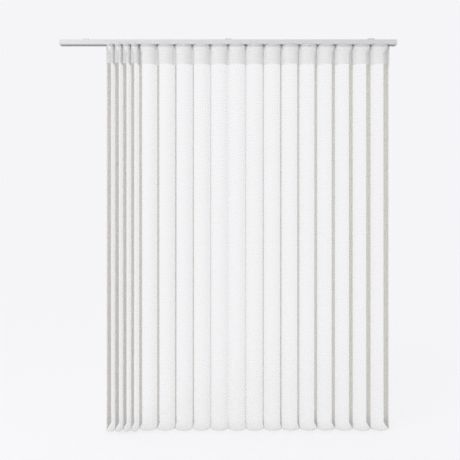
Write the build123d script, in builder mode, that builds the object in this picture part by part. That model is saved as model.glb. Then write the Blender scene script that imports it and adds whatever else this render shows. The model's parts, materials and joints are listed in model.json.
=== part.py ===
"""Sheer vertical blind: a ceiling rail with sliding carriers, turning vanes and a waved sheer facing.

X runs along the rail, Y points from front to back and Z is up.
The origin is on the ceiling plane, in the middle of the middle bracket.
"""
import os
from math import asin, pi, sqrt

from build123d import *

os.makedirs("parts", exist_ok=True)

# Driving dimensions, in millimetres

# The set of vanes
vane_count = 19
bunched_gaps = 4
open_pitch = 90.0
stack_pitch = 40.5
end_margin = 40.0
drop = 1970.0

# Clearances
fit_gap = 0.3
running_gap = 0.05
seat_gap = 0.1
overrun = 1.0

# Headrail: a channel with a slot below and a lipped bracket groove above
ceiling_gap = 7.0
rail_depth = 46.0
rail_height = 23.5
rail_wall = 1.6
rail_corner = 1.5
slot_width = 12.0
lip_thickness = 1.2
lip_reach = 5.6
groove_height = 1.8

# End caps
cap_thickness = 5.0
plug_length = 6.0
inlet_width = 7.0

# Ceiling brackets
bracket_length = 34.0
bracket_inset = 130.0
bracket_hole_radius = 2.25

# Tilt rod and its chain wheel
rod_radius = 3.0
rod_back = 9.5
rod_sides = 6
wheel_gap = 0.4
wheel_width = 5.0
bead_count = 10

# Carriers
carrier_gap = 0.5
carrier_width = 30.0
roof_gap = 0.7
passage_wall = 1.6
carrier_chamfer = 2.0
shoe_height = 3.6
shoe_side_gap = 0.9
neck_length = 10.0
neck_width = 9.0
neck_drop = 3.0
clip_thickness = 1.2
clip_height = 20.0
clip_gap = 0.5

# Spacer links: each reaches over the carriers ahead of it in one of three lanes
link_width = 3.5
link_thickness = 0.8
lane_places = (-12.5, -7.5, 7.5)
boss_inset = 2.0
boss_length = 8.0
lug_inset = 6.0
lug_length = 4.0
lug_height = 2.2
hook_length = 2.0
hook_lift = 0.5

# Vanes: spindle, hanger and opaque fabric strip
spindle_radius = 2.2
spindle_rib = 1.4
spindle_head_width = 7.0
spindle_head_height = 2.0
hub_width = 5.0
hanger_gap = 2.8
hanger_height = 14.0
hanger_thickness = 4.0
hanger_end_drop = 5.0
groove_depth = 5.0
strip_width = 100.0
strip_thickness = 0.8
strip_lift = 2.0

# Sheer facing, backed along its top by the heading tape
heading_gap = 2.5
heading_height = 100.0
tape_thickness = 0.8
sheer_thickness = 0.6
cusp_width = 6.0
open_bulge = 30.0
end_hem = 5.0

# Derived places along the rail
gap_count = vane_count - 1
blind_length = gap_count * open_pitch + 2 * end_margin
rail_length = blind_length - 2 * cap_thickness
last_pivot = blind_length / 2 - end_margin

# Derived heights, measured down from the ceiling plane
rail_top = -ceiling_gap
rail_bottom = rail_top - rail_height
groove_top = rail_top - lip_thickness
groove_floor = groove_top - groove_height
cavity_top = groove_floor - rail_wall
track = rail_bottom + rail_wall
cavity_width = rail_depth - 2 * rail_wall
lip_opening = cavity_width - 2 * lip_reach

# Derived sizes of the carriers, the tilt rod through them and its wheel
carrier_length = stack_pitch - carrier_gap
carrier_base = track + fit_gap
link_base = cavity_top - roof_gap - link_thickness
carrier_top = link_base - fit_gap - lug_height
carrier_height = carrier_top - carrier_base
neck_base = rail_bottom - neck_drop
rod_passage = 2 * (rod_radius + fit_gap)
fork_back = spindle_radius + running_gap
spindle_span = sqrt((2 * spindle_radius) ** 2 - spindle_rib**2)
rod_height = carrier_top - passage_wall - rod_passage / 2
wheel_radius = min(rod_height - track, cavity_top - rod_height) - wheel_gap
clip_top = neck_base - seat_gap
clip_back = hub_width / sqrt(2) + clip_gap
clip_front = clip_back + clip_thickness

# Derived vane heights
hanger_top = clip_top - clip_thickness - hanger_gap
hanger_base = hanger_top - hanger_height
strip_top = hanger_base + groove_depth - seat_gap
strip_bottom = -drop + strip_lift

# Derived wave of the facing: the same length of cloth lies in every gap, open or bunched
heading_top = rail_bottom - heading_gap
open_chord = open_pitch - cusp_width
open_radius = open_chord**2 / (8 * open_bulge) + open_bulge / 2
cloth_per_gap = 2 * open_radius * asin(open_chord / (2 * open_radius))
bunched_radius = (stack_pitch - cusp_width) / 2
bunched_leg = (cloth_per_gap - pi * bunched_radius) / 2
heading_base = heading_top - heading_height
facing_back = clip_front + fit_gap + tape_thickness


def gap_pitch(gap):
    """Pitch of a gap as the blind is shown, with the first few gaps pushed together."""
    return stack_pitch if gap < bunched_gaps else open_pitch


def pivot(number):
    """Place along X of a vane's spindle, counted from 1 at the leading end."""
    return last_pivot - sum(gap_pitch(gap) for gap in range(number - 1, gap_count))


def save(part, name):
    """Label a finished piece and write it to its own file."""
    part.label = name
    export_step(part, f"parts/{name}.step")


# Headrail
with BuildPart() as headrail:
    with BuildSketch(Plane.YZ.offset(-rail_length / 2)) as rail_section:
        with Locations((0, rail_top - rail_height / 2)):
            Rectangle(rail_depth, rail_height)
        fillet(rail_section.vertices().group_by(Axis.Y)[0], rail_corner)
        with Locations((0, (cavity_top + track) / 2)):
            Rectangle(cavity_width, cavity_top - track, mode=Mode.SUBTRACT)
        with Locations((0, track)):
            Rectangle(slot_width, 2 * (rail_wall + overrun), mode=Mode.SUBTRACT)
        with Locations((0, groove_floor)):
            Rectangle(cavity_width, groove_height, align=(Align.CENTER, Align.MIN), mode=Mode.SUBTRACT)
        with Locations((0, groove_floor)):
            Rectangle(
                lip_opening,
                groove_height + lip_thickness + overrun,
                align=(Align.CENTER, Align.MIN),
                mode=Mode.SUBTRACT,
            )
    extrude(amount=rail_length)
    with BuildSketch(Plane.XY.offset(track)):
        with Locations((rail_length / 2 - plug_length, rod_back + wheel_radius)):
            Rectangle(inlet_width, inlet_width, align=(Align.MAX, Align.CENTER))
    extrude(amount=rail_wall + overrun, both=True, mode=Mode.SUBTRACT)
save(headrail.part, "headrail")


def end_cap(side):
    """Cap plate with a plug that fits the rail and bears the tilt rod; side is -1 or 1 along X."""
    face = side * rail_length / 2
    outward = Plane(origin=(face, 0, 0), x_dir=(0, side, 0), z_dir=(side, 0, 0))
    with BuildPart() as cap:
        with BuildSketch(outward) as plate:
            with Locations((0, rail_top - rail_height / 2)):
                Rectangle(rail_depth, rail_height)
            fillet(plate.vertices().group_by(Axis.Y)[0], rail_corner)
        extrude(amount=cap_thickness)
        with BuildSketch(outward):
            with Locations((0, (cavity_top + track) / 2)):
                Rectangle(cavity_width - 2 * fit_gap, cavity_top - track - 2 * fit_gap)
        extrude(amount=-plug_length)
        with BuildSketch(outward.offset(-plug_length)):
            with Locations((side * rod_back, rod_height)):
                Circle(rod_radius + running_gap)
        extrude(amount=plug_length, mode=Mode.SUBTRACT)
    return cap.part


save(end_cap(-1), "end_cap_left")
save(end_cap(1), "end_cap_right")


def ceiling_bracket(place):
    """Clip whose wings sit in the rail's groove, with a screw hole in the middle."""
    with BuildPart() as bracket:
        with BuildSketch(Plane.YZ.offset(place - bracket_length / 2)):
            with Locations((0, groove_floor + fit_gap)):
                Rectangle(
                    lip_opening - 2 * fit_gap,
                    -groove_floor - fit_gap,
                    align=(Align.CENTER, Align.MIN),
                )
                Rectangle(
                    cavity_width - 2 * fit_gap,
                    groove_height - 2 * fit_gap,
                    align=(Align.CENTER, Align.MIN),
                )
        extrude(amount=bracket_length)
        with Locations((place, 0, 0)):
            Hole(bracket_hole_radius)
    return bracket.part


bracket_reach = blind_length / 2 - bracket_inset
save(ceiling_bracket(-bracket_reach), "bracket_left")
save(ceiling_bracket(0), "bracket_middle")
save(ceiling_bracket(bracket_reach), "bracket_right")

# Tilt rod: hexagonal, turning on its edges in both end plugs
with BuildPart() as tilt_rod:
    with BuildSketch(Plane.YZ.offset(-rail_length / 2 + fit_gap)):
        with Locations((rod_back, rod_height)):
            RegularPolygon(rod_radius, rod_sides)
    extrude(amount=rail_length - 2 * fit_gap)
save(tilt_rod.part, "tilt_rod")

# Chain wheel on the rod, with a flat for each bead, beside the control end's plug
wheel_face = rail_length / 2 - plug_length - fit_gap - wheel_width
with BuildPart() as chain_wheel:
    with BuildSketch(Plane.YZ.offset(wheel_face)):
        with Locations((rod_back, rod_height)):
            RegularPolygon(wheel_radius, bead_count)
            RegularPolygon(rod_radius + running_gap, rod_sides, mode=Mode.SUBTRACT)
    extrude(amount=wheel_width)
save(chain_wheel.part, "chain_wheel")


def carrier(lane, linked=True):
    """Moulded runner with a fork for the spindle, a heading clip below and, if linked, a link above."""
    own_lane = lane_places[lane]
    caught_lane = lane_places[(lane + 1) % len(lane_places)]
    fixed_end = carrier_length / 2
    with BuildPart() as runner:
        with BuildSketch(Plane.YZ.offset(-fixed_end)):
            with Locations((0, carrier_base)):
                Rectangle(carrier_width, carrier_height, align=(Align.CENTER, Align.MIN))
                Rectangle(cavity_width - 2 * shoe_side_gap, shoe_height, align=(Align.CENTER, Align.MIN))
            with Locations((rod_back, rod_height)):
                Rectangle(rod_passage, rod_passage, mode=Mode.SUBTRACT)
        extrude(amount=carrier_length)
        chamfer(runner.edges().filter_by(Axis.Z).group_by(SortBy.LENGTH)[0], carrier_chamfer)
        with BuildSketch(Plane.XY.offset(neck_base)):
            Rectangle(neck_length, neck_width)
        extrude(amount=carrier_base - neck_base)
        with BuildSketch(Plane.XY.offset(carrier_top)):
            with Locations((fixed_end - lug_inset, caught_lane)):
                Rectangle(lug_length, link_width, align=(Align.MAX, Align.CENTER))
        extrude(amount=lug_height)
        with BuildSketch(Plane.XY.offset(neck_base)):
            with Locations((0, fork_back)):
                Rectangle(2 * fork_back, cavity_width, align=(Align.CENTER, Align.MAX))
        extrude(amount=carrier_top - neck_base, mode=Mode.SUBTRACT)
        with BuildSketch(Plane.YZ.offset(-neck_length / 2)):
            with Locations((-clip_front, clip_top)):
                Rectangle(clip_front + neck_width / 2, clip_thickness, align=(Align.MIN, Align.MAX))
                Rectangle(clip_thickness, clip_height, align=(Align.MIN, Align.MAX))
        extrude(amount=neck_length)
        with BuildSketch(Plane.XY.offset(clip_top - clip_thickness)):
            with Locations((0, -spindle_radius - fit_gap)):
                Rectangle(2 * (spindle_radius + fit_gap), neck_width, align=(Align.CENTER, Align.MIN))
        extrude(amount=clip_thickness, mode=Mode.SUBTRACT)
        if linked:
            boss_start = fixed_end - boss_inset
            hook_start = fixed_end - open_pitch - lug_inset - lug_length - fit_gap
            hook_end = hook_start - hook_length
            with BuildSketch(Plane.XY.offset(carrier_top)):
                with Locations((boss_start, own_lane)):
                    Rectangle(boss_length, link_width, align=(Align.MAX, Align.CENTER))
            extrude(amount=link_base - seat_gap - carrier_top)
            with BuildSketch(Plane.XY.offset(link_base)):
                with Locations((boss_start, own_lane)):
                    Rectangle(boss_start - hook_end, link_width, align=(Align.MAX, Align.CENTER))
            extrude(amount=link_thickness)
            with BuildSketch(Plane.XY.offset(carrier_top + hook_lift)):
                with Locations((hook_start, own_lane)):
                    Rectangle(hook_length, link_width, align=(Align.MAX, Align.CENTER))
            extrude(amount=link_base - carrier_top - hook_lift)
    return runner.part


def vane():
    """Cross-ribbed spindle held in the fork, grooved hanger and flat strip, all turning together."""
    with BuildPart() as blade:
        with BuildSketch(Plane.YZ.offset(-hanger_thickness / 2)):
            with BuildLine():
                Polyline(
                    (0, hanger_top),
                    (strip_width, hanger_top - hanger_end_drop),
                    (strip_width, hanger_base),
                    (0, hanger_base),
                    close=True,
                )
            make_face()
        extrude(amount=hanger_thickness)
        with BuildSketch(Plane.XY.offset(hanger_base)):
            Rectangle(hub_width, hub_width)
        extrude(amount=hanger_height)
        with BuildSketch(Plane.XY.offset(hanger_base)):
            with Locations((0, -fit_gap)):
                Rectangle(
                    strip_thickness + 2 * fit_gap,
                    strip_width + fit_gap + overrun,
                    align=(Align.CENTER, Align.MIN),
                )
        extrude(amount=groove_depth, mode=Mode.SUBTRACT)
        with BuildSketch(Plane.XY.offset(hanger_top + seat_gap)):
            Rectangle(spindle_span, spindle_rib)
            Rectangle(spindle_rib, spindle_span)
        extrude(amount=carrier_top - hanger_top)
        with BuildSketch(Plane.XY.offset(carrier_top + seat_gap)):
            Rectangle(spindle_head_width, spindle_head_width)
        extrude(amount=spindle_head_height)
        with BuildSketch(Plane.XY.offset(strip_bottom)):
            Rectangle(strip_thickness, strip_width, align=(Align.CENTER, Align.MIN))
        extrude(amount=strip_top - strip_bottom)
    return blade.part


linked_carriers = [carrier(lane) for lane in range(len(lane_places))]
leading_carrier = carrier(1, linked=False)
hung_vane = vane()
for number in range(1, vane_count + 1):
    place = Location((pivot(number), 0, 0))
    runner = leading_carrier if number == 1 else linked_carriers[number % len(lane_places)]
    save(runner.moved(place), f"carrier_{number:02d}")
    save(hung_vane.moved(place), f"vane_{number:02d}")


def wave(shift):
    """Draw the facing's wave from end to end, shifted to the back by shift."""
    back = -facing_back + shift
    tip = start = (pivot(1) - end_hem, back)
    for gap in range(gap_count):
        middle = (pivot(gap + 1) + pivot(gap + 2)) / 2
        if gap < bunched_gaps:
            half = radius = bunched_radius - shift
            centre = -facing_back - bunched_leg
            Line(tip, (middle - half, back))
            Line((middle - half, back), (middle - half, centre))
            ThreePointArc((middle - half, centre), (middle, centre - radius), (middle + half, centre))
            Line((middle + half, centre), (middle + half, back))
        else:
            radius = open_radius - shift
            centre = -facing_back - open_bulge + open_radius
            half = sqrt(radius**2 - (back - centre) ** 2)
            Line(tip, (middle - half, back))
            ThreePointArc((middle - half, back), (middle, centre - radius), (middle + half, back))
        tip = (middle + half, back)
    end = (pivot(vane_count) + end_hem, back)
    Line(tip, end)
    return start, end


# Facing: a thin sheet below, thickened by the heading tape along its top
heading_thickness = sheer_thickness + tape_thickness
facing_bands = ((sheer_thickness, -drop, heading_base), (heading_thickness, heading_base, heading_top))
with BuildPart() as sheer_curtain:
    for thickness, base, top in facing_bands:
        with BuildSketch(Plane.XY.offset(base)):
            with BuildLine():
                front_start, front_end = wave(-sheer_thickness)
                back_start, back_end = wave(thickness - sheer_thickness)
                Line(front_start, back_start)
                Line(front_end, back_end)
            make_face()
        extrude(amount=top - base)
save(sheer_curtain.part, "sheer_curtain")
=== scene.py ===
"""Dresses a vertical blind: enamelled rail, moulded runners, woven vanes and a waved sheer facing.

Lengths are in metres. X runs along the rail, Y points from front to back and Z is up.
"""
import json
import logging
import math
import random
from collections.abc import Callable, Iterable, Sequence
from dataclasses import dataclass
from enum import Enum
from functools import reduce
from itertools import pairwise
from typing import NamedTuple

import bmesh
import bpy
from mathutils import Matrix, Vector

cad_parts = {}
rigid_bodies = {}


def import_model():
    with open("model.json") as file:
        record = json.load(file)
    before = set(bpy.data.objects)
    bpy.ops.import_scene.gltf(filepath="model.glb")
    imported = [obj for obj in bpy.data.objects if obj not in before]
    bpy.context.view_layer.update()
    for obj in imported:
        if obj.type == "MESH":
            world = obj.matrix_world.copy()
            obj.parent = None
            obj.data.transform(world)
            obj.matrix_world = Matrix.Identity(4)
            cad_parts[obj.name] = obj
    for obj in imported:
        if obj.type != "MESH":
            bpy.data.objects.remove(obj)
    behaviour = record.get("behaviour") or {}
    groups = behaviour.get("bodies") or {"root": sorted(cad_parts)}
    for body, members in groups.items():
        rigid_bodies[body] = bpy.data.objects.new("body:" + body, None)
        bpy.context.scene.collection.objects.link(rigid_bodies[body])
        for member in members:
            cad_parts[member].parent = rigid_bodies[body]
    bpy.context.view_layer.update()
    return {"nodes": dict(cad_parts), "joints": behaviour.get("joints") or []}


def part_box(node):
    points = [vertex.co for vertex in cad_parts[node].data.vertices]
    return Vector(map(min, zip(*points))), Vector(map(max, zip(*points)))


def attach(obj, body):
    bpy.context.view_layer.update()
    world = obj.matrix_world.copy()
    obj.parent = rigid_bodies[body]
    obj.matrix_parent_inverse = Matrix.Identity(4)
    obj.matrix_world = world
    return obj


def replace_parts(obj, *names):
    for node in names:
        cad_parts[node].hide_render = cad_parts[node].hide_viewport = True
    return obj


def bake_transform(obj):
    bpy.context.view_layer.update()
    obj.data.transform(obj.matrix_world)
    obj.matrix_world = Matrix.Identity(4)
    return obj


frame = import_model()
log = logging.getLogger("vertical_blind")

Tone = tuple[float, float, float]
Point = tuple[float, float, float]
FlatPoint = tuple[float, float]
Range = tuple[float, float]
Solid = list[bmesh.types.BMVert]
Socket = bpy.types.NodeSocket
Source = Socket | float | tuple[float, ...]

# Display curve: straight up to its foot and a power above it.
DISPLAY_WHITE = 255
CURVE_FOOT = 0.04045
CURVE_SLOPE = 12.92
CURVE_OFFSET = 0.055
CURVE_POWER = 2.4

# Colour sockets of a Mix node, by number because its other sockets have the same names.
MIX_FIRST = 6
MIX_SECOND = 7
MIX_RESULT = 2

# Copies of the solids: points to join, faces to count as flat and edges to ease.
WELD_DISTANCE = 1e-6
FLAT_ANGLE = math.radians(0.5)
EASED_ANGLE = math.radians(40)
EASED_SEGMENTS = 2


def linear(value: int) -> float:
    """Turn a display value into the linear value that renders as it.

    Args:
        value: The value as displayed, from 0 to 255.

    Returns:
        The linear value, from 0 to 1.
    """
    share = value / DISPLAY_WHITE
    if share <= CURVE_FOOT:
        return share / CURVE_SLOPE
    return ((share + CURVE_OFFSET) / (1 + CURVE_OFFSET)) ** CURVE_POWER


def tone(red: int, green: int, blue: int) -> Tone:
    """Linear colour that renders as three display values from 0 to 255."""
    return linear(red), linear(green), linear(blue)


def smooth(share: float) -> float:
    """Ease a share from 0 to 1, held flat beyond both ends."""
    share = min(1.0, max(0.0, share))
    return share * share * (3 - 2 * share)


class Channel(Enum):
    """Kinds of socket that a shader group may have."""

    VALUE = "NodeSocketFloat"
    VECTOR = "NodeSocketVector"


class Graph:
    """Short words for adding and joining nodes in one node tree."""

    def __init__(self, tree: bpy.types.NodeTree) -> None:
        """Start from the tree that gets the nodes."""
        self.tree = tree

    def add(self, kind: str, **settings: object) -> bpy.types.Node:
        """Add a node.

        Args:
            kind: Blender's name of the node's type.
            **settings: Properties to set on it.

        Returns:
            The new node.
        """
        node = self.tree.nodes.new(kind)
        for name, value in settings.items():
            setattr(node, name, value)
        return node

    def feed(self, target: Socket, source: Source) -> None:
        """Join a socket to its source, or set it to a plain value.

        Args:
            target: The socket that is fed.
            source: An output socket, or the value itself.
        """
        if isinstance(source, Socket):
            self.tree.links.new(source, target)
        else:
            target.default_value = source

    def feed_all(self, node: bpy.types.Node, sources: Iterable[Source]) -> Socket:
        """Feed a node's inputs in their order.

        Args:
            node: The node.
            sources: Sockets or values for its first inputs.

        Returns:
            The node's first output.
        """
        for socket, source in zip(node.inputs, sources):
            self.feed(socket, source)
        return node.outputs[0]

    def math(self, operation: str, *values: Source, clamp: bool = False) -> Socket:
        """Result of a Math node, which clamp holds between 0 and 1."""
        node = self.add("ShaderNodeMath", operation=operation, use_clamp=clamp)
        return self.feed_all(node, values)

    def split(self, vector: Socket) -> list[Socket]:
        """Split a vector into its three values.

        Args:
            vector: The vector's socket.

        Returns:
            The sockets of its values.
        """
        node = self.add("ShaderNodeSeparateXYZ")
        self.feed(node.inputs[0], vector)
        return list(node.outputs)

    def join(self, x: Source, y: Source, z: Source) -> Socket:
        """Vector that is joined from three values."""
        return self.feed_all(self.add("ShaderNodeCombineXYZ"), (x, y, z))

    def noise(self, vector: Socket, scale: Source = 1.0, detail: float = 2.0) -> Socket:
        """Add a noise texture.

        Args:
            vector: Where the noise is read.
            scale: Waves per unit of the vector.
            detail: Number of finer octaves.

        Returns:
            The socket of its value.
        """
        node = self.add("ShaderNodeTexNoise")
        self.feed(node.inputs["Vector"], vector)
        self.feed(node.inputs["Scale"], scale)
        node.inputs["Detail"].default_value = detail
        return node.outputs["Fac"]

    def shades(self, factor: Socket, first: Socket | Tone, second: Socket | Tone) -> Socket:
        """Blend between two colours.

        Args:
            factor: 0 gives the first colour and 1 the second.
            first: A tone or the socket of a colour.
            second: The same for the other end.

        Returns:
            The colour's socket.
        """
        node = self.add("ShaderNodeMix", data_type="RGBA")
        self.feed(node.inputs["Factor"], factor)
        for number, colour in ((MIX_FIRST, first), (MIX_SECOND, second)):
            self.feed(node.inputs[number], colour if isinstance(colour, Socket) else (*colour, 1.0))
        return node.outputs[MIX_RESULT]

    def group(self, tree: bpy.types.NodeTree, **values: Source) -> bpy.types.Node:
        """Place a shader group.

        Args:
            tree: The group.
            **values: Sockets or numbers for its inputs, by name.

        Returns:
            The group's node.
        """
        node = self.add("ShaderNodeGroup", node_tree=tree)
        for name, value in values.items():
            self.feed(node.inputs[name], value)
        return node


def new_group(
    name: str, inputs: dict[str, Channel], outputs: Iterable[str]
) -> tuple[Graph, dict[str, Socket], dict[str, Socket]]:
    """Start a shader group with named sockets.

    Args:
        name: The group's name.
        inputs: Name and kind of each input.
        outputs: Names of its outputs, which are all values.

    Returns:
        The group's graph, its input sockets and its output sockets, by name.
    """
    tree = bpy.data.node_groups.new(name, "ShaderNodeTree")
    for label, channel in inputs.items():
        tree.interface.new_socket(label, in_out="INPUT", socket_type=channel.value)
    for label in outputs:
        tree.interface.new_socket(label, in_out="OUTPUT", socket_type=Channel.VALUE.value)
    graph = Graph(tree)
    start = graph.add("NodeGroupInput")
    end = graph.add("NodeGroupOutput")
    return graph, {s.name: s for s in start.outputs if s.name}, {s.name: s for s in end.inputs if s.name}


def build_weave() -> bpy.types.NodeTree:
    """Make the plain weave that the cloths share.

    Returns:
        A group that puts out the threads' height, the openness between them and their slubs.
    """
    graph, given, made = new_group(
        "plain_weave",
        {"Cloth": Channel.VECTOR, "Warp": Channel.VALUE, "Weft": Channel.VALUE, "Wander": Channel.VALUE},
        ("Height", "Openness", "Slub"),
    )
    across, along, _ = graph.split(given["Cloth"])
    # Slubs in a metre, side by side and down one thread, and the layer of noise that each set reads.
    beside = 420.0
    down = 14.0
    warp_layer = 0.0
    weft_layer = 7.0
    slubs = []
    for wide, tall, layer in ((beside, down, warp_layer), (down, beside, weft_layer)):
        place = graph.join(graph.math("MULTIPLY", across, wide), graph.math("MULTIPLY", along, tall), layer)
        slubs.append(graph.noise(place))
    slub = graph.math("MULTIPLY", graph.math("ADD", *slubs), 0.5)
    drift = graph.math("MULTIPLY", graph.math("SUBTRACT", slub, 0.5), given["Wander"])
    waves = []
    for place, threads in ((across, given["Warp"]), (along, given["Weft"])):
        turn = graph.math("ADD", graph.math("MULTIPLY", place, threads), drift)
        waves.append(graph.math("SINE", graph.math("MULTIPLY", turn, math.pi)))
    warp_round, weft_round = (graph.math("ABSOLUTE", wave) for wave in waves)
    over = graph.math("MULTIPLY_ADD", graph.math("MULTIPLY", *waves), 0.5, 0.5)
    under = graph.math("SUBTRACT", 1.0, over)
    warp_height = graph.math("MULTIPLY", warp_round, over)
    weft_height = graph.math("MULTIPLY", weft_round, under)
    graph.feed(made["Height"], graph.math("MAXIMUM", warp_height, weft_height))
    warp_gap = graph.math("SUBTRACT", 1.0, warp_round)
    weft_gap = graph.math("SUBTRACT", 1.0, weft_round)
    graph.feed(made["Openness"], graph.math("MULTIPLY", warp_gap, weft_gap))
    graph.feed(made["Slub"], slub)
    return graph.tree


def build_stitch() -> bpy.types.NodeTree:
    """Make the row of lockstitches that hems and seams share.

    Returns:
        A group that puts out the stitches' mask.
    """
    graph, given, made = new_group(
        "lockstitch",
        {name: Channel.VALUE for name in ("Along", "Across", "Place", "Pitch", "Width")},
        ("Mask",),
    )
    thread_share = 0.72
    offset = graph.math("ABSOLUTE", graph.math("SUBTRACT", given["Across"], given["Place"]))
    on_row = graph.math("LESS_THAN", offset, graph.math("MULTIPLY", given["Width"], 0.5))
    phase = graph.math("FRACT", graph.math("DIVIDE", given["Along"], given["Pitch"]))
    on_thread = graph.math("LESS_THAN", phase, thread_share)
    graph.feed(made["Mask"], graph.math("MULTIPLY", on_row, on_thread))
    return graph.tree


def build_grain() -> bpy.types.NodeTree:
    """Make the fine grain of sprayed and moulded surfaces.

    Returns:
        A group that puts out the grain's height and a slow mottle.
    """
    graph, given, made = new_group(
        "fine_grain",
        {"Place": Channel.VECTOR, "Grain": Channel.VALUE, "Mottle": Channel.VALUE},
        ("Height", "Mottle"),
    )
    graph.feed(made["Height"], graph.noise(given["Place"], given["Grain"], detail=3.0))
    graph.feed(made["Mottle"], graph.noise(given["Place"], given["Mottle"], detail=4.0))
    return graph.tree


def build_drawn() -> bpy.types.NodeTree:
    """Make the fine lines that drawing or rolling leaves along X.

    Returns:
        A group that puts out the lines' height.
    """
    graph, given, made = new_group(
        "drawn_lines",
        {"Place": Channel.VECTOR, "Lines": Channel.VALUE, "Run": Channel.VALUE},
        ("Height",),
    )
    scales = (given["Run"], given["Lines"], given["Lines"])
    values = zip(graph.split(given["Place"]), scales)
    stretched = graph.join(*(graph.math("MULTIPLY", value, scale) for value, scale in values))
    graph.feed(made["Height"], graph.noise(stretched, detail=3.0))
    return graph.tree


@dataclass(frozen=True)
class Effects:
    """Shader groups that several finishes place.

    Attributes:
        weave: Plain weave of the cloths.
        stitch: Row of lockstitches.
        grain: Grain of sprayed and moulded surfaces.
        drawn: Lines of drawn and rolled metal.
    """

    weave: bpy.types.NodeTree
    stitch: bpy.types.NodeTree
    grain: bpy.types.NodeTree
    drawn: bpy.types.NodeTree


def new_material(name: str) -> tuple[bpy.types.Material, Graph, bpy.types.Node]:
    """Start a material.

    Args:
        name: The material's name.

    Returns:
        The material, its graph and its Principled BSDF.
    """
    material = bpy.data.materials.new(name)
    material.use_nodes = True
    return material, Graph(material.node_tree), material.node_tree.nodes["Principled BSDF"]


def rest_place(graph: Graph) -> Socket:
    """Socket of a point's place on the piece at rest."""
    return graph.add("ShaderNodeTexCoord").outputs["Object"]


def cloth_place(graph: Graph) -> Socket:
    """Socket of a point's place on the flat cloth, in metres."""
    return graph.add("ShaderNodeTexCoord").outputs["UV"]


def roughen(graph: Graph, shader: bpy.types.Node, factor: Socket, limits: Range) -> None:
    """Let a shader's roughness follow a value from 0 to 1, between its limits."""
    low, high = limits
    graph.feed(shader.inputs["Roughness"], graph.math("MULTIPLY_ADD", factor, high - low, low))


def bump(graph: Graph, shader: bpy.types.Node, height: Socket, depth: float) -> None:
    """Raise a surface by a height.

    Args:
        graph: The material's graph.
        shader: The shader that gets the normal.
        height: Height from 0 to 1.
        depth: How deep 0 lies below 1, in metres.
    """
    node = graph.add("ShaderNodeBump")
    node.inputs["Distance"].default_value = depth
    graph.feed(node.inputs["Height"], height)
    graph.feed(shader.inputs["Normal"], node.outputs["Normal"])


@dataclass(frozen=True)
class Enamel:
    """Satin stove enamel over an extruded rail.

    Attributes:
        light: Tone where the coat is fullest.
        dark: Tone where it is thinnest.
        roughness: Least and greatest roughness.
        peel: Ripples of the coat in a metre.
        peel_depth: Depth of the ripples.
        mottle: Changes of tone in a metre.
        lines: Die lines in a metre, across the rail.
        run: Changes of a die line in a metre, along the rail.
    """

    light: Tone
    dark: Tone
    roughness: Range = (0.34, 0.46)
    peel: float = 700.0
    peel_depth: float = 0.00003
    mottle: float = 6.0
    lines: float = 500.0
    run: float = 1.0

    def material(self, name: str, effects: Effects) -> bpy.types.Material:
        """Make the material.

        Args:
            name: The material's name.
            effects: The shared groups.

        Returns:
            The material.
        """
        material, graph, shader = new_material(name)
        place = rest_place(graph)
        grain = graph.group(effects.grain, Place=place, Grain=self.peel, Mottle=self.mottle)
        lines = graph.group(effects.drawn, Place=place, Lines=self.lines, Run=self.run)
        shade = graph.math("MULTIPLY", grain.outputs["Mottle"], lines.outputs["Height"])
        graph.feed(shader.inputs["Base Color"], graph.shades(shade, self.dark, self.light))
        roughen(graph, shader, lines.outputs["Height"], self.roughness)
        bump(graph, shader, grain.outputs["Height"], self.peel_depth)
        return material


@dataclass(frozen=True)
class MouldedPlastic:
    """Matt moulded plastic with a fine spark grain.

    Attributes:
        light: Lighter tone of its mottle.
        dark: Darker tone of its mottle.
        roughness: Least and greatest roughness.
        grain: Grains in a metre.
        grain_depth: Depth of the grain.
        mottle: Changes of tone in a metre.
    """

    light: Tone
    dark: Tone
    roughness: Range = (0.42, 0.58)
    grain: float = 2200.0
    grain_depth: float = 0.00004
    mottle: float = 90.0

    def material(self, name: str, effects: Effects) -> bpy.types.Material:
        """Make the material.

        Args:
            name: The material's name.
            effects: The shared groups.

        Returns:
            The material.
        """
        material, graph, shader = new_material(name)
        grain = graph.group(effects.grain, Place=rest_place(graph), Grain=self.grain, Mottle=self.mottle)
        mottle = grain.outputs["Mottle"]
        graph.feed(shader.inputs["Base Color"], graph.shades(mottle, self.dark, self.light))
        roughen(graph, shader, mottle, self.roughness)
        bump(graph, shader, grain.outputs["Height"], self.grain_depth)
        return material


@dataclass(frozen=True)
class DrawnMetal:
    """Bare metal with drawing or rolling lines.

    Attributes:
        light: Lighter tone along the lines.
        dark: Darker tone along the lines.
        roughness: Least and greatest roughness.
        lines: Lines in a metre, across the metal.
        run: Changes of a line in a metre, along it.
        depth: Depth of the lines.
    """

    light: Tone
    dark: Tone
    roughness: Range = (0.24, 0.44)
    lines: float = 2600.0
    run: float = 4.0
    depth: float = 0.00002

    def material(self, name: str, effects: Effects) -> bpy.types.Material:
        """Make the material.

        Args:
            name: The material's name.
            effects: The shared groups.

        Returns:
            The material.
        """
        material, graph, shader = new_material(name)
        lines = graph.group(effects.drawn, Place=rest_place(graph), Lines=self.lines, Run=self.run)
        height = lines.outputs["Height"]
        shader.inputs["Metallic"].default_value = 1.0
        graph.feed(shader.inputs["Base Color"], graph.shades(height, self.dark, self.light))
        roughen(graph, shader, height, self.roughness)
        bump(graph, shader, height, self.depth)
        return material


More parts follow.
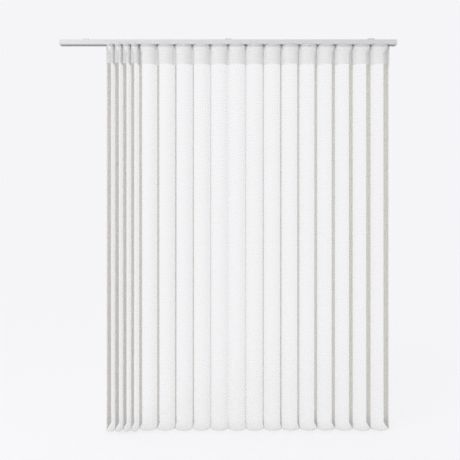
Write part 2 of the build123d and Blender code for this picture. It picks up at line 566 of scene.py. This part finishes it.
@dataclass(frozen=True)
class Cloth:
    """Woven cloth, from a close blackout weave to an open voile.

    Attributes:
        light: Tone of thick slubs and of the threads' crowns, whose extra lightness on the crowns is painted
            light.
        dark: Tone of thin slubs and between the threads, whose darkness between the threads is painted shade.
        thread: Tone of the sewing thread.
        warp: Lengthwise threads in a metre.
        weft: Crosswise threads in a metre.
        stitch_rows: Places up the flat cloth that are sewn across.
        wander: How far threads wander, in threads.
        depth: Depth of the weave.
        cover: Opacity at the threads, 1 for a close weave.
        opening: Opacity lost in the gaps between threads.
        streak: Opacity that thick and thin threads add and take.
        sheen: Weight of the fuzz's sheen.
        roughness: Roughness of the threads.
        stitch_pitch: Length of a stitch.
        stitch_width: Width of a stitch.
        stitch_rise_share: Height of a stitch, as a share of the weave's depth.
    """

    light: Tone
    dark: Tone
    thread: Tone
    warp: float
    weft: float
    stitch_rows: tuple[float, ...]
    wander: float = 0.8
    depth: float = 0.00015
    cover: float = 1.0
    opening: float = 0.0
    streak: float = 0.0
    sheen: float = 0.12
    roughness: float = 0.88
    stitch_pitch: float = 0.0032
    stitch_width: float = 0.0009
    stitch_rise_share: float = 0.6

    def material(self, name: str, effects: Effects) -> bpy.types.Material:
        """Make the material.

        Args:
            name: The material's name.
            effects: The shared groups.

        Returns:
            The material.
        """
        material, graph, shader = new_material(name)
        place = cloth_place(graph)
        weave = graph.group(effects.weave, Cloth=place, Warp=self.warp, Weft=self.weft, Wander=self.wander)
        height = weave.outputs["Height"]
        slub = weave.outputs["Slub"]
        # Half the tone follows the slubs' thick and thin threads; the other half follows the weave's height,
        # painted shade between the threads and painted light on their crowns.
        shade = graph.math("MULTIPLY_ADD", slub, 0.5, graph.math("MULTIPLY", height, 0.5))
        sewn = self.stitches(graph, effects.stitch, place)
        # The woven colour, which holds the painted shade and painted light of the weave's height.
        woven_with_painted_shade = graph.shades(shade, self.dark, self.light)
        graph.feed(shader.inputs["Base Color"], graph.shades(sewn, woven_with_painted_shade, self.thread))
        shader.inputs["Roughness"].default_value = self.roughness
        shader.inputs["Sheen Weight"].default_value = self.sheen
        if self.cover < 1.0:
            lost = graph.math("MULTIPLY", weave.outputs["Openness"], self.opening)
            thick = graph.math("MULTIPLY_ADD", slub, self.streak, self.cover - self.streak / 2)
            graph.feed(shader.inputs["Alpha"], graph.math("SUBTRACT", thick, lost, clamp=True))
        raised = graph.math("MULTIPLY_ADD", sewn, self.stitch_rise_share, height)
        bump(graph, shader, raised, self.depth)
        return material

    def stitches(self, graph: Graph, stitch: bpy.types.NodeTree, place: Socket) -> Socket:
        """Mark the rows of stitches.

        Args:
            graph: The material's graph.
            stitch: The group that marks one row.
            place: Place on the flat cloth.

        Returns:
            The socket of a mask that is 1 on the sewing thread.
        """
        across, along, _ = graph.split(place)
        given = {"Along": across, "Across": along, "Pitch": self.stitch_pitch, "Width": self.stitch_width}
        masks = [graph.group(stitch, Place=row, **given).outputs["Mask"] for row in self.stitch_rows]
        return reduce(lambda first, second: graph.math("MAXIMUM", first, second), masks)


@dataclass(frozen=True)
class Hems:
    """Heights of the cloths' hems and of the heading tape.

    Attributes:
        strip: Hem of an opaque strip.
        sheer: Hem of the sheer facing.
        tape: Height of the heading tape.
        tape_fold: Fold along the heading tape's top edge.
        stitch_inset: How far a row of stitches lies from an edge.
    """

    strip: float = 0.030
    sheer: float = 0.008
    tape: float = 0.100
    tape_fold: float = 0.008
    stitch_inset: float = 0.002


@dataclass(frozen=True)
class Finishes:
    """Every material of the blind.

    Attributes:
        enamel: Rail.
        cap: End caps and chain wheel.
        zinc: Ceiling brackets.
        rod: Tilt rod.
        runner: Carriers.
        hanger: Vane hangers.
        vane: Opaque strips.
        voile: Sheer facing.
        tape: Heading tape.
    """

    enamel: bpy.types.Material
    cap: bpy.types.Material
    zinc: bpy.types.Material
    rod: bpy.types.Material
    runner: bpy.types.Material
    hanger: bpy.types.Material
    vane: bpy.types.Material
    voile: bpy.types.Material
    tape: bpy.types.Material

    @classmethod
    def build(cls, hems: Hems) -> "Finishes":
        """Make all the materials.

        Args:
            hems: Heights of the hems, where the stitches run.

        Returns:
            The finishes.
        """
        effects = Effects(
            weave=build_weave(),
            stitch=build_stitch(),
            grain=build_grain(),
            drawn=build_drawn(),
        )
        return cls(
            enamel=Enamel(
                light=tone(226, 224, 227),
                dark=tone(217, 215, 218),
            ).material("rail_enamel", effects),
            cap=MouldedPlastic(
                light=tone(230, 228, 230),
                dark=tone(220, 218, 220),
            ).material("cap_plastic", effects),
            zinc=DrawnMetal(
                light=tone(196, 198, 202),
                dark=tone(170, 173, 178),
                roughness=(0.48, 0.62),
            ).material("zinc_plate", effects),
            rod=DrawnMetal(
                light=tone(222, 223, 226),
                dark=tone(196, 198, 202),
            ).material("rod_aluminium", effects),
            runner=MouldedPlastic(
                light=tone(138, 139, 142),
                dark=tone(124, 125, 128),
            ).material("runner_plastic", effects),
            hanger=MouldedPlastic(
                light=tone(240, 239, 236),
                dark=tone(230, 229, 226),
            ).material("hanger_plastic", effects),
            vane=Cloth(
                light=tone(247, 244, 238),
                dark=tone(238, 235, 228),
                thread=tone(250, 248, 243),
                warp=1500.0,
                weft=1250.0,
                stitch_rows=(hems.strip - hems.stitch_inset,),
            ).material("vane_cloth", effects),
            voile=Cloth(
                light=tone(246, 245, 246),
                dark=tone(236, 235, 236),
                thread=tone(250, 250, 250),
                warp=2400.0,
                weft=2200.0,
                stitch_rows=(hems.sheer - hems.stitch_inset,),
                wander=1.4,
                depth=0.00006,
                cover=0.28,
                opening=0.16,
                streak=0.16,
                sheen=0.05,
            ).material("sheer_voile", effects),
            tape=Cloth(
                light=tone(243, 242, 242),
                dark=tone(233, 232, 232),
                thread=tone(248, 247, 247),
                warp=420.0,
                weft=1800.0,
                stitch_rows=(hems.stitch_inset, hems.tape + hems.tape_fold - hems.stitch_inset),
                wander=0.4,
                depth=0.0002,
                cover=0.64,
                opening=0.12,
                streak=0.14,
                sheen=0.05,
            ).material("heading_tape", effects),
        )


def welded(node: str) -> bmesh.types.BMesh:
    """Copy a node's mesh with its points joined.

    Args:
        node: The node's name.

    Returns:
        The copy.
    """
    work = bmesh.new()
    work.from_mesh(frame["nodes"][node].data)
    bmesh.ops.remove_doubles(work, verts=work.verts, dist=WELD_DISTANCE)
    return work


def islands(work: bmesh.types.BMesh) -> list[Solid]:
    """List the separate solids of a mesh.

    Args:
        work: The mesh.

    Returns:
        The points of each solid.
    """
    left = set(work.verts)
    found = []
    while left:
        front = [left.pop()]
        solid = []
        while front:
            point = front.pop()
            solid.append(point)
            near = {edge.other_vert(point) for edge in point.link_edges} & left
            left -= near
            front.extend(near)
        found.append(solid)
    return found


@dataclass(frozen=True)
class Layout:
    """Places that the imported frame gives.

    Attributes:
        pivots: Place along X of each vane's spindle.
        holders: Body that carries each vane's spindle.
        facing_low: Lowest corner of the facing.
        facing_high: Highest corner of the facing.
        strip_low: Lowest corner of the first vane.
        strip_high: Highest corner of the first vane.
        strip_top: Height of the strips' top edge, in the hangers' grooves.
    """

    pivots: tuple[float, ...]
    holders: tuple[str, ...]
    facing_low: Vector
    facing_high: Vector
    strip_low: Vector
    strip_high: Vector
    strip_top: float

    @classmethod
    def from_frame(cls) -> "Layout":
        """Read the places from the frame.

        Returns:
            The layout.
        """
        tilts = [joint for joint in frame["joints"] if joint["name"].startswith("tilt_")]
        hinges = sorted(tilts, key=lambda joint: joint["name"])
        pivots = tuple(joint["pos_m"][0] for joint in hinges)
        holders = tuple(joint["parent"] for joint in hinges)
        work = welded("vane_01")
        strip = min(islands(work), key=lambda solid: min(point.co.z for point in solid))
        strip_top = max(point.co.z for point in strip)
        work.free()
        return cls(pivots, holders, *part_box("sheer_curtain"), *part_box("vane_01"), strip_top)


def dress(piece: bpy.types.Object, *materials: bpy.types.Material) -> None:
    """Give a piece its materials.

    Args:
        piece: The piece.
        *materials: Its materials, in the order of the faces' numbers.
    """
    numbers = [face.material_index for face in piece.data.polygons]
    piece.data.materials.clear()
    for material in materials:
        piece.data.materials.append(material)
    piece.data.polygons.foreach_set("material_index", numbers)


def new_piece(name: str, mesh: bpy.types.Mesh, *materials: bpy.types.Material) -> bpy.types.Object:
    """Add a piece to the scene.

    Args:
        name: The piece's name.
        mesh: Its mesh.
        *materials: Its materials.

    Returns:
        The new object.
    """
    piece = bpy.data.objects.new(name, mesh)
    bpy.context.scene.collection.objects.link(piece)
    dress(piece, *materials)
    return piece


def sheet_mesh(
    name: str,
    columns: int,
    rows: int,
    place: Callable[[int, int], Point],
    flat: Callable[[int, int], FlatPoint],
) -> bpy.types.Mesh:
    """Make a sheet of four-sided faces.

    Args:
        name: The mesh's name.
        columns: Number of points across.
        rows: Number of points down.
        place: Gives a point's place from its column and row.
        flat: Gives its place on the flat cloth, in metres.

    Returns:
        The mesh, with the flat places as its UV map.
    """
    mesh = bpy.data.meshes.new(name)
    work = bmesh.new()
    chart = work.loops.layers.uv.new("flat_cloth")
    grid = [[work.verts.new(place(column, row)) for column in range(columns)] for row in range(rows)]
    for row in range(rows - 1):
        for column in range(columns - 1):
            corners = [(column, row), (column, row + 1), (column + 1, row + 1), (column + 1, row)]
            face = work.faces.new([grid[r][c] for c, r in corners])
            face.smooth = True
            for loop, corner in zip(face.loops, corners):
                loop[chart].uv = flat(*corner)
    work.to_mesh(mesh)
    work.free()
    return mesh


def eased_copy(
    node: str,
    name: str,
    materials: Sequence[bpy.types.Material],
    edge: float,
    finish: Callable[[Solid], int | None] = lambda solid: 0,
) -> bpy.types.Object:
    """Copy a solid node as a piece with eased edges, as a mould or press leaves them.

    Args:
        node: The node to copy.
        name: The piece's name.
        materials: Its materials.
        edge: Width of the eased edges.
        finish: Gives the number of each solid's material, or None for a solid to leave out.

    Returns:
        The piece.
    """
    mesh = bpy.data.meshes.new(name)
    work = welded(node)
    bmesh.ops.dissolve_limit(work, angle_limit=FLAT_ANGLE, verts=work.verts, edges=work.edges)
    for solid in islands(work):
        number = finish(solid)
        if number is None:
            bmesh.ops.delete(work, geom=solid, context="VERTS")
            continue
        for face in {face for point in solid for face in point.link_faces}:
            face.material_index = number
    work.to_mesh(mesh)
    work.free()
    piece = new_piece(name, mesh, *materials)
    bevel = piece.modifiers.new("eased_edges", "BEVEL")
    bevel.width = edge
    bevel.segments = EASED_SEGMENTS
    bevel.limit_method = "ANGLE"
    bevel.angle_limit = EASED_ANGLE
    return piece


@dataclass
class Rail:
    """The enamelled rail with its caps, brackets and tilting gear.

    Attributes:
        finishes: The blind's materials.
        cap_edge: Width of the caps' eased edges.
        bracket_edge: Width of the eased edges of the brackets and the chain wheel.
    """

    finishes: Finishes
    cap_edge: float = 0.0006
    bracket_edge: float = 0.0003

    def build(self) -> list[bpy.types.Object]:
        """Dress the rail and everything fixed to it.

        Returns:
            The rail, the tilt rod and the eased pieces.
        """
        headrail = frame["nodes"]["headrail"]
        rod = frame["nodes"]["tilt_rod"]
        dress(headrail, self.finishes.enamel)
        dress(rod, self.finishes.rod)
        plastic = self.finishes.cap
        zinc = self.finishes.zinc
        caps = [
            self.ease(f"end_cap_{end}", f"cap_{end}", plastic, self.cap_edge, "rail")
            for end in ("left", "right")
        ]
        clips = [
            self.ease(f"bracket_{spot}", f"clip_{spot}", zinc, self.bracket_edge, "rail")
            for spot in ("left", "middle", "right")
        ]
        wheel = self.ease("chain_wheel", "bead_wheel", plastic, self.bracket_edge, "tilt_rod")
        return [headrail, rod, *caps, *clips, wheel]

    def ease(
        self, node: str, name: str, material: bpy.types.Material, edge: float, body: str
    ) -> bpy.types.Object:
        """Put an eased copy in a node's place.

        Args:
            node: The node that it stands for.
            name: The piece's name.
            material: Its material.
            edge: Width of its eased edges.
            body: The body that it rides on.

        Returns:
            The copy.
        """
        piece = eased_copy(node, name, [material], edge)
        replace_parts(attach(piece, body), node)
        return piece


@dataclass
class Runner:
    """One moulded carrier that slides in the rail, with the pale clip that holds the facing.

    Attributes:
        number: Its number from the leading end.
        holder: The body that it belongs to.
        finishes: The blind's materials.
        edge: Width of its eased edges.
    """

    number: int
    holder: str
    finishes: Finishes
    edge: float = 0.0003

    def build(self) -> list[bpy.types.Object]:
        """Put an eased copy in the carrier's place.

        Returns:
            The copy.
        """
        node = f"carrier_{self.number:02d}"
        materials = [self.finishes.runner, self.finishes.hanger]
        piece = eased_copy(node, f"runner_{self.number:02d}", materials, self.edge, self.finish)
        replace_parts(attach(piece, self.holder), node)
        return [piece]

    def finish(self, solid: Solid) -> int:
        """Number of a solid's material: the clip hangs wholly below the rail."""
        return int(max(point.co.z for point in solid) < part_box("headrail")[0].z)


class StripRow(NamedTuple):
    """One row of points across a strip.

    Attributes:
        height: Its height.
        out: How far it lies out of the strip's plane.
        along: Its place up the flat cloth, below 0 on the turned-up hem.
    """

    height: float
    out: float
    along: float


@dataclass
class Vane:
    """One turning vane: a moulded hanger and an opaque strip with a sewn hem.

    Attributes:
        number: Its number from the leading end.
        pivot: Place of its spindle along X.
        layout: Places from the frame.
        hems: Heights of the hems.
        finishes: The blind's materials.
        hanger_edge: Width of the hanger's eased edges.
        thickness: Thickness of the cloth.
        hem_gap: Distance from the strip to its turned-up hem.
        bow: How far the strip bows out of its plane.
        bow_share: Share of the drop over which the bow grows.
        twist: How far its lower corners turn out of its plane.
        columns: Points across the strip.
        rows: Points down the strip.
    """

    number: int
    pivot: float
    layout: Layout
    hems: Hems
    finishes: Finishes
    hanger_edge: float = 0.0004
    thickness: float = 0.0006
    hem_gap: float = 0.0010
    bow: float = 0.0008
    bow_share: float = 1 / 3
    twist: float = 0.0012
    columns: int = 9
    rows: int = 26

    def build(self) -> list[bpy.types.Object]:
        """Make the hanger and the strip, and put them in the node's place.

        Returns:
            The hanger and the strip.
        """
        node = f"vane_{self.number:02d}"
        hanger = eased_copy(
            node, f"hanger_{self.number:02d}", [self.finishes.hanger], self.hanger_edge, self.finish
        )
        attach(hanger, node)
        strip = self.strip()
        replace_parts(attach(strip, node), node)
        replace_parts(hanger, node)
        return [hanger, strip]

    def finish(self, solid: Solid) -> int | None:
        """Number of a solid's material, with the strip left out."""
        lowest = min(point.co.z for point in solid)
        return None if lowest < self.layout.strip_low.z + self.hems.strip else 0

    def levels(self) -> list[StripRow]:
        """List the strip's rows, down to its lower edge and up the hem behind it.

        Returns:
            The rows.
        """
        top = self.layout.strip_top
        bottom = self.layout.strip_low.z
        length = top - bottom
        hem = self.hems.strip
        falls = [row / (self.rows - 1) for row in range(self.rows)]
        down = [StripRow(top - length * fall, 0.0, length * (1 - fall)) for fall in falls]
        return down + [StripRow(bottom + turned, self.hem_gap, -turned) for turned in (0.0, hem / 2, hem)]

    def strip(self) -> bpy.types.Object:
        """Make the strip of cloth.

        Returns:
            The strip, with its thickness.
        """
        draw = random.Random(self.number)
        bow = self.bow * draw.uniform(-1, 1)
        twist = self.twist * draw.uniform(-1, 1)
        width = self.layout.strip_high.y
        top = self.layout.strip_top
        length = top - self.layout.strip_low.z
        levels = self.levels()

        def place(column: int, row: int) -> Point:
            """Place a point of the strip.

            Args:
                column: Its column from the pivot.
                row: Its row from the top.

            Returns:
                Its place.
            """
            share = column / (self.columns - 1)
            height, out, _ = levels[row]
            fall = (top - height) / length
            bowed = bow * math.sin(math.pi * share) * smooth(fall / self.bow_share)
            lean = bowed + twist * share * fall * fall
            return self.pivot + lean + out, width * share, height

        def flat(column: int, row: int) -> FlatPoint:
            """Place of a point on the flat cloth."""
            return width * column / (self.columns - 1), levels[row].along

        mesh = sheet_mesh(f"strip_{self.number:02d}", self.columns, len(levels), place, flat)
        strip = new_piece(mesh.name, mesh, self.finishes.vane)
        solidify = strip.modifiers.new("cloth_thickness", "SOLIDIFY")
        solidify.thickness = self.thickness
        solidify.offset = 0.0
        return strip


class WavePoint(NamedTuple):
    """One point of the facing's wave in plan.

    Attributes:
        x: Its place along X.
        depth: How far it lies in front of the cusps.
        run: Its place across the flat cloth.
    """

    x: float
    depth: float
    run: float


@dataclass
class Gap:
    """The sheer facing and its heading tape between two vanes.

    Attributes:
        number: Its number from the leading end.
        layout: Places from the frame.
        hems: Heights of the hems.
        finishes: The blind's materials.
        cusp_width: Width of the flat at each cusp.
        open_bulge: Depth of the wave in an open gap.
        open_share: Share of the widest pitch above which a gap counts as open.
        end_hem: Width of the flat hem beyond the first and the last pivot.
        tape_thickness: Distance from the tape's back to the sheer.
        seam: Place along Y of the sheer at the strips' front edges.
        seam_drop: Height over which the sheer comes back to the strips.
        sway: How far the folds sway from their true wave.
        sway_share: Share of the drop over which the sway grows.
        sway_seed: Seed of the sway, to which the gap's number is added.
        lean_turn: Radians that the sway along X turns through on its way down.
        rise_turn: Radians that the sway along Y turns through on its way down.
        curve_steps: Faces along a curve.
        leg_steps: Faces along a straight leg.
        rows: Points down the sheer.
        tape_rows: Points down the tape, below its fold.
    """

    number: int
    layout: Layout
    hems: Hems
    finishes: Finishes
    cusp_width: float = 0.006
    open_bulge: float = 0.030
    open_share: float = 0.99
    end_hem: float = 0.005
    tape_thickness: float = 0.0008
    seam: float = -0.0030
    seam_drop: float = 0.35
    sway: float = 0.0012
    sway_share: float = 0.5
    sway_seed: int = 100
    lean_turn: float = 5.0
    rise_turn: float = 7.0
    curve_steps: int = 28
    leg_steps: int = 4
    rows: int = 34
    tape_rows: int = 6

    @property
    def left(self) -> float:
        """Place of the left pivot along X."""
        return self.layout.pivots[self.number - 1]

    @property
    def right(self) -> float:
        """Place of the right pivot along X."""
        return self.layout.pivots[self.number]

    @property
    def cusp(self) -> float:
        """Place of the sheer's cusps along Y."""
        return self.layout.facing_high.y - self.tape_thickness

    @property
    def open_pitch(self) -> float:
        """Widest pitch of any gap."""
        return max(right - left for left, right in pairwise(self.layout.pivots))

    @property
    def cloth(self) -> float:
        """Length of the cloth in one gap's wave.

        Returns:
            The length of an open gap's arc, which a narrower gap keeps.
        """
        chord = self.open_pitch - self.cusp_width
        radius = self.open_radius(chord)
        return 2 * radius * math.asin(chord / (2 * radius))

    def open_radius(self, chord: float) -> float:
        """Radius of the arc that bulges over a chord by an open gap's depth."""
        return chord**2 / (8 * self.open_bulge) + self.open_bulge / 2

    def wave(self, inset: float) -> list[WavePoint]:
        """Draw the wave in plan.

        Args:
            inset: How far inside the sheer the wave lies.

        Returns:
            The point of each column.
        """
        middle = (self.left + self.right) / 2
        chord = self.right - self.left - self.cusp_width
        land = self.cusp_width / 2
        if self.right - self.left > self.open_pitch * self.open_share:
            radius = self.open_radius(chord)
            leg = 0.0
            swing = math.asin(chord / (2 * radius))
            centre = self.open_bulge - radius
        else:
            radius = chord / 2
            leg = (self.cloth - math.pi * radius) / 2
            swing = math.pi / 2
            centre = leg
        inner = radius - inset
        points = [WavePoint(self.left, -inset, 0.0)]
        for step in range(self.leg_steps if leg else 0):
            run = leg * step / self.leg_steps
            points.append(WavePoint(middle - inner, run - inset, land + run))
        for step in range(self.curve_steps + 1):
            turn = swing * (2 * step / self.curve_steps - 1)
            run = leg + radius * (turn + swing)
            x = middle + inner * math.sin(turn)
            points.append(WavePoint(x, centre + inner * math.cos(turn), land + run))
        for step in range(self.leg_steps if leg else 0):
            run = leg * (step + 1) / self.leg_steps
            points.append(WavePoint(middle + inner, leg - run - inset, land + self.cloth - leg + run))
        points.append(WavePoint(self.right, -inset, self.cloth + 2 * land))
        if self.left == self.layout.pivots[0]:
            points.insert(0, WavePoint(self.left - self.end_hem, -inset, -self.end_hem))
        if self.right == self.layout.pivots[-1]:
            points.append(WavePoint(self.right + self.end_hem, -inset, self.cloth + 2 * land + self.end_hem))
        return points

    def build(self) -> list[bpy.types.Object]:
        """Make the sheer and the tape, in their place at rest between their two carriers.

        Returns:
            The sheer and the tape.
        """
        sheer = self.sheer()
        tape = self.tape()
        width = sum(math.dist(a[:2], b[:2]) for a, b in pairwise(self.wave(0.0)))
        height = self.layout.facing_high.z - self.layout.facing_low.z + self.hems.sheer
        for piece, length in ((sheer, height), (tape, self.hems.tape + self.hems.tape_fold)):
            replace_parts(piece, "sheer_curtain")
            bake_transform(piece)
        return [sheer, tape]

    def sheer(self) -> bpy.types.Object:
        """Make the sheer of this gap, with its turned-up hem.

        Returns:
            The sheer.
        """
        phase = random.Random(self.sway_seed + self.number).uniform(0, 2 * math.pi)
        columns = self.wave(0.0)
        top = self.layout.facing_high.z
        bottom = self.layout.facing_low.z
        cusp = self.cusp
        hem_gap = self.tape_thickness
        sway = self.sway * (self.right - self.left) / self.open_pitch
        levels = [(top + (bottom - top) * row / (self.rows - 1), 0.0) for row in range(self.rows)]
        levels += [(bottom, hem_gap), (bottom + self.hems.sheer, hem_gap)]

        def place(column: int, row: int) -> Point:
            """Place a point of the sheer.

            Args:
                column: Its column from the left.
                row: Its row from the top.

            Returns:
                Its place.
            """
            x, depth, _ = columns[column]
            height, back = levels[row]
            fall = (top - height) / (top - bottom)
            bulge = smooth(depth / self.open_bulge)
            home = (self.seam - cusp) * (1 - bulge) * smooth((top - height - self.hems.tape) / self.seam_drop)
            swing = sway * bulge * smooth(fall / self.sway_share)
            lean = swing * math.sin(phase + self.lean_turn * fall)
            rise = swing * math.cos(phase + self.rise_turn * fall)
            return x + lean, cusp - depth + home + rise + back, height

        def flat(column: int, row: int) -> FlatPoint:
            """Place of a point on the flat cloth, below 0 on the hem."""
            height, back = levels[row]
            return columns[column].run, bottom - height if back else height - bottom

        mesh = sheet_mesh(f"sheer_{self.number:02d}", len(columns), len(levels), place, flat)
        return new_piece(mesh.name, mesh, self.finishes.voile)

    def tape(self) -> bpy.types.Object:
        """Make the heading tape of this gap, behind the sheer, with its top edge folded to the front.

        Returns:
            The tape.
        """
        columns = self.wave(self.tape_thickness)
        folded = self.wave(self.tape_thickness / 2)
        top = self.layout.facing_high.z
        cusp = self.cusp
        tall = self.hems.tape
        levels = [(folded, tall + self.hems.tape_fold), (folded, tall)]
        levels += [(columns, tall * (1 - row / (self.tape_rows - 1))) for row in range(self.tape_rows)]

        def place(column: int, row: int) -> Point:
            """Place a point of the tape.

            Args:
                column: Its column from the left.
                row: Its row from the fold's edge.

            Returns:
                Its place.
            """
            layer, along = levels[row]
            x, depth, _ = layer[column]
            return x, cusp - depth, top - abs(tall - along)

        def flat(column: int, row: int) -> FlatPoint:
            """Place of a point on the flat tape."""
            layer, along = levels[row]
            return layer[column].run, along

        mesh = sheet_mesh(f"tape_{self.number:02d}", len(columns), len(levels), place, flat)
        return new_piece(mesh.name, mesh, self.finishes.tape)


class Lamp(Enum):
    """Kinds of lamp in the studio."""

    SUN = "SUN"
    AREA = "AREA"


@dataclass(frozen=True)
class Studio:
    """Pale floor, soft light and a camera square on to the blind.

    Attributes:
        page: Colour of the background as the camera sees it.
        floor_tone: Tone of the floor for the light that it throws back.
        floor_seen: Tone of the floor where it is seen, under its glow.
        floor_roughness: Roughness of the floor.
        glow_share: Share of the seen floor that glows and takes no shadow.
        sky_front: Strength of the soft light from straight in front.
        sky_back: Strength of the soft light from straight behind.
        sun_strength: Strength of the sun.
        sun_angle: How wide the sun is, which softens its shadows.
        sun_place: Where the sun's lamp stands, which changes nothing of its light.
        sun_aim: The way the sun shines.
        fill_place: Where the side lamp stands.
        fill_target: Where it points.
        fill_power: Its power in watts.
        fill_size: Its width.
        camera_place: Place of the camera.
        lens: Focal length in millimetres.
        sensor: Width of the sensor in millimetres.
        floor_gap: Height of the blind above the floor.
        floor_size: Width of the floor.
        layers: See-through layers that a ray may pass.
    """

    page: Tone = tone(245, 245, 247)
    floor_tone: Tone = tone(214, 214, 215)
    floor_seen: Tone = tone(249, 249, 251)
    floor_roughness: float = 0.95
    glow_share: float = 0.74
    sky_front: float = 0.60
    sky_back: float = 0.80
    sun_strength: float = 0.80
    sun_angle: float = math.radians(40)
    sun_place: Point = (0.0, 0.0, 1.0)
    sun_aim: Point = (0.18, 0.75, -0.64)
    fill_place: Point = (-2.1, -2.3, 0.1)
    fill_target: Point = (0.2, 0.0, -0.4)
    fill_power: float = 20.0
    fill_size: float = 1.4
    camera_place: Point = (0.009, -3.233, -0.965)
    lens: float = 50.0
    sensor: float = 36.0
    floor_gap: float = 0.018
    floor_size: float = 60.0
    layers: int = 96

    @property
    def sky(self) -> float:
        """Mean strength of the soft light all round."""
        return (self.sky_front + self.sky_back) / 2

    def build(self, lowest: float) -> None:
        """Set up the studio.

        Args:
            lowest: Height of the blind's lower edge.
        """
        scene = bpy.context.scene
        scene.view_settings.view_transform = "Standard"
        scene.cycles.transparent_max_bounces = self.layers
        self.world(scene)
        self.floor(lowest - self.floor_gap)
        self.lamp("soft_key", Lamp.SUN, self.sun_strength, self.sun_place, self.sun_aim, self.sun_angle)
        aim = Vector(self.fill_target) - Vector(self.fill_place)
        self.lamp("side_fill", Lamp.AREA, self.fill_power, self.fill_place, tuple(aim), self.fill_size)
        self.camera(scene)

    def world(self, scene: bpy.types.Scene) -> None:
        """Light the scene softly, a little more from behind, and show the page's colour round it.

        Args:
            scene: The scene that gets the light.
        """
        world = bpy.data.worlds.new("studio_light")
        scene.world = world
        world.use_nodes = True
        graph = Graph(world.node_tree)
        light = world.node_tree.nodes["Background"]
        light.inputs["Color"].default_value = (1.0, 1.0, 1.0, 1.0)
        _, depth, _ = graph.split(graph.add("ShaderNodeTexCoord").outputs["Generated"])
        rise = (self.sky_back - self.sky_front) / 2
        graph.feed(light.inputs["Strength"], graph.math("MULTIPLY_ADD", depth, rise, self.sky))
        page = graph.add("ShaderNodeBackground")
        page.inputs["Color"].default_value = (*self.page, 1.0)
        mix = graph.add("ShaderNodeMixShader")
        shown = graph.feed_all(mix, (self.seen(graph), light.outputs[0], page.outputs[0]))
        graph.feed(world.node_tree.nodes["World Output"].inputs["Surface"], shown)

    def seen(self, graph: Graph) -> Socket:
        """Tell the rays that show the background from those that only light the blind.

        Args:
            graph: The graph that gets the nodes.

        Returns:
            A socket that is 1 for camera, glossy and transmitted rays.
        """
        path = graph.add("ShaderNodeLightPath")
        sharp = graph.math("MAXIMUM", path.outputs["Is Camera Ray"], path.outputs["Is Glossy Ray"])
        return graph.math("MAXIMUM", sharp, path.outputs["Is Transmission Ray"])

    def glow(self) -> Tone:
        """Work out the glow that brings the lit floor to the page's colour.

        Returns:
            Colour of the glow, up to white.
        """
        fall = -self.sun_aim[2] / math.hypot(*self.sun_aim)
        light = self.sky + self.sun_strength * fall / math.pi
        lit = [channel * light * (1 - self.glow_share) for channel in self.floor_seen]
        return tuple(min(1.0, (page - part) / self.glow_share) for page, part in zip(self.page, lit))

    def floor(self, height: float) -> None:
        """Lay the pale floor.

        Args:
            height: Height of the floor.
        """
        half = self.floor_size / 2
        mesh = bpy.data.meshes.new("studio_floor")
        corners = [(-half, -half, height), (half, -half, height), (half, half, height), (-half, half, height)]
        mesh.from_pydata(corners, [], [(0, 1, 2, 3)])
        material, graph, shader = new_material("studio_floor")
        shader.inputs["Roughness"].default_value = self.floor_roughness
        shader.inputs["Specular IOR Level"].default_value = 0.0
        seen = self.seen(graph)
        graph.feed(shader.inputs["Base Color"], graph.shades(seen, self.floor_tone, self.floor_seen))
        glow = graph.add("ShaderNodeEmission")
        glow.inputs["Color"].default_value = (*self.glow(), 1.0)
        mix = graph.add("ShaderNodeMixShader")
        share = graph.math("MULTIPLY", seen, self.glow_share)
        shown = graph.feed_all(mix, (share, shader.outputs[0], glow.outputs[0]))
        graph.feed(material.node_tree.nodes["Material Output"].inputs["Surface"], shown)
        new_piece("studio_floor", mesh, material)

    def lamp(self, name: str, kind: Lamp, power: float, place: Point, aim: Point, spread: float) -> None:
        """Add a lamp.

        Args:
            name: The lamp's name.
            kind: Sun or area lamp.
            power: Its strength.
            place: Where it stands.
            aim: The way it points.
            spread: A sun's angle or an area lamp's width.
        """
        data = bpy.data.lights.new(name, kind.value)
        data.energy = power
        if kind is Lamp.SUN:
            data.angle = spread
        else:
            data.size = spread
        lamp = bpy.data.objects.new(name, data)
        lamp.location = place
        lamp.rotation_euler = Vector(aim).to_track_quat("-Z", "Y").to_euler()
        bpy.context.scene.collection.objects.link(lamp)

    def camera(self, scene: bpy.types.Scene) -> None:
        """Place the camera square on to the blind.

        Args:
            scene: The scene that gets the camera.
        """
        data = bpy.data.cameras.new("front_camera")
        data.lens = self.lens
        data.sensor_width = self.sensor
        camera = bpy.data.objects.new("front_camera", data)
        camera.location = self.camera_place
        camera.rotation_euler = (math.pi / 2, 0.0, 0.0)
        scene.collection.objects.link(camera)
        scene.camera = camera


def main() -> None:
    """Build the blind's sub-assemblies in order, report each piece and set the studio round them."""
    logging.basicConfig(level=logging.INFO, format="%(name)s: %(message)s")
    layout = Layout.from_frame()
    hems = Hems()
    finishes = Finishes.build(hems)
    assemblies: list[Rail | Runner | Vane | Gap] = [Rail(finishes)]
    for number, (pivot, holder) in enumerate(zip(layout.pivots, layout.holders), start=1):
        assemblies.append(Runner(number, holder, finishes))
        assemblies.append(Vane(number, pivot, layout, hems, finishes))
    for number in range(1, len(layout.pivots)):
        assemblies.append(Gap(number, layout, hems, finishes))
    for assembly in assemblies:
        for piece in assembly.build():
            log.info("%s: %s, %d faces", type(assembly).__name__, piece.name, len(piece.data.polygons))
    Studio().build(layout.facing_low.z)
    log.info("Studio: floor, lamps and camera")


if __name__ == "__main__":
    main()
